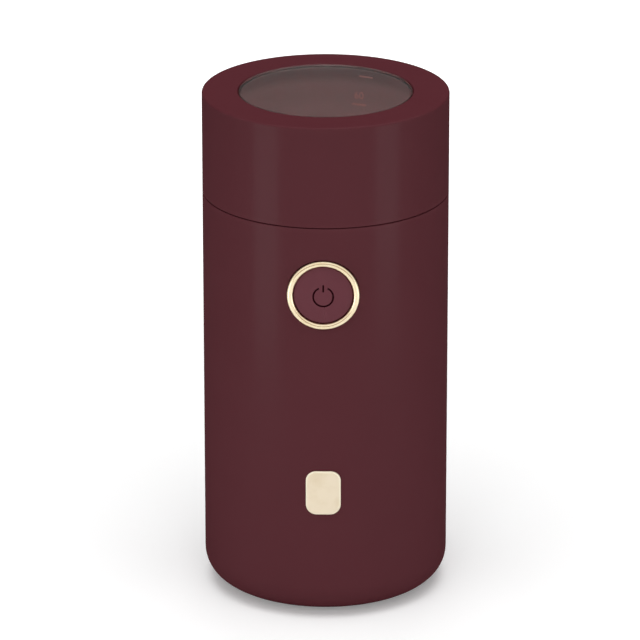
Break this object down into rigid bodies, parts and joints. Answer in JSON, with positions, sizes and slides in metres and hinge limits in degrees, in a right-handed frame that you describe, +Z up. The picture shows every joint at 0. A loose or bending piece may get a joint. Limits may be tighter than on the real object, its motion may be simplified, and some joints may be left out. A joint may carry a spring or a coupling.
{
  "type": "electric coffee grinder",
  "caption": "Tall round electric blade coffee grinder with a lift-off lid, a smoked lid window, a steel bowl and a front push button.",
  "frame": {"origin": "middle of the feet on the surface that the grinder stands on", "axes": "+Z up along the grinder's axis, -Y towards the front with the start button"},
  "size_m": [0.095, 0.0966, 0.2],
  "materials": {
    "burgundy_shell": "satin moulded",
    "burgundy_button": "satin moulded",
    "smoked_clear": "clear smoked",
    "pale_gold": "polished pale gold",
    "stainless": "fine brushed",
    "black_plastic": "fine textured",
    "white_plastic": "plain moulded",
    "silicone": "soft translucent",
    "black_rubber": "matte",
    "zinc_steel": "zinc plated",
    "shaft_steel": "ground",
    "cast_aluminium": "as cast",
    "lamination": "stacked sheet",
    "copper": "lacquered",
    "bronze": "sintered",
    "carbon": "pressed",
    "board_green": "solder mask",
    "capacitor_yellow": "moulded box"
  },
  "bodies": {
    "grinder_body": {"body_shell": "burgundy_shell", "badge_plate": "pale_gold", "base_plate": "black_plastic", "rubber_feet": "black_rubber", "base_screws": "zinc_steel", "cord_gland": "black_plastic", "circuit_board": "board_green", "board_screws": "zinc_steel", "suppressor_capacitor": "capacitor_yellow", "terminal_block": "white_plastic", "bowl_carrier": "black_plastic", "grinding_bowl": "stainless", "shaft_seal": "black_rubber", "button_bezel": "pale_gold", "button_spring": "zinc_steel", "switch_bracket": "black_plastic", "bracket_screws": "zinc_steel", "start_switch": "black_plastic", "interlock_spring": "zinc_steel", "interlock_switch": "black_plastic", "upper_bracket": "cast_aluminium", "lower_bracket": "black_plastic", "upper_bearing": "bronze", "lower_bearing": "bronze", "stator_core": "lamination", "field_coils": "copper", "motor_bolts": "zinc_steel", "mount_bushes": "black_rubber", "mount_screws": "zinc_steel", "brush_holders": "bronze", "carbon_brushes": "carbon", "brush_springs": "zinc_steel"},
    "lid": {"lid_shell": "burgundy_shell", "lid_liner": "smoked_clear", "lid_seal": "silicone"},
    "rotor": {"motor_shaft": "shaft_steel", "rotor_core": "lamination", "rotor_winding": "copper", "commutator": "copper", "cooling_fan": "black_plastic", "blade": "stainless", "blade_collar": "stainless", "blade_nut": "stainless"},
    "button": {"power_button": "burgundy_button"},
    "button_plunger": {"start_plunger": "white_plastic"},
    "lid_pin": {"interlock_pin": "white_plastic"},
    "lid_plunger": {"interlock_plunger": "white_plastic"}
  },
  "joints": [
    {"name": "lid_lift", "type": "slide", "parent": "grinder_body", "child": "lid", "axis": [0, 0, 1], "range_m": [0, 0.065]},
    {"name": "rotor_spin", "type": "hinge", "parent": "grinder_body", "child": "rotor", "pos_m": [0, 0, 0.1], "axis": [0, 0, 1], "continuous": true},
    {"name": "button_press", "type": "slide", "parent": "grinder_body", "child": "button", "axis": [0, 1, 0], "range_m": [0, 0.001], "stiffness_N_per_m": 900, "springref_m": -0.001, "deforming": ["button_spring"]},
    {"name": "start_plunger_slide", "type": "slide", "parent": "grinder_body", "child": "button_plunger", "axis": [0, 1, 0], "range_m": [0, 0.001]},
    {"name": "lid_pin_rise", "type": "slide", "parent": "grinder_body", "child": "lid_pin", "axis": [0, 0, 1], "range_m": [0, 0.0018], "deforming": ["interlock_spring"]},
    {"name": "lid_plunger_rise", "type": "slide", "parent": "grinder_body", "child": "lid_plunger", "axis": [0, 0, 1], "range_m": [0, 0.0008]}
  ],
  "couplings": [
    {"joint": "start_plunger_slide", "follows": "button_press", "ratio": 1},
    {"joint": "lid_pin_rise", "follows": "lid_lift", "ratio": 0.0276},
    {"joint": "lid_plunger_rise", "follows": "lid_lift", "ratio": 0.0123}
  ]
}
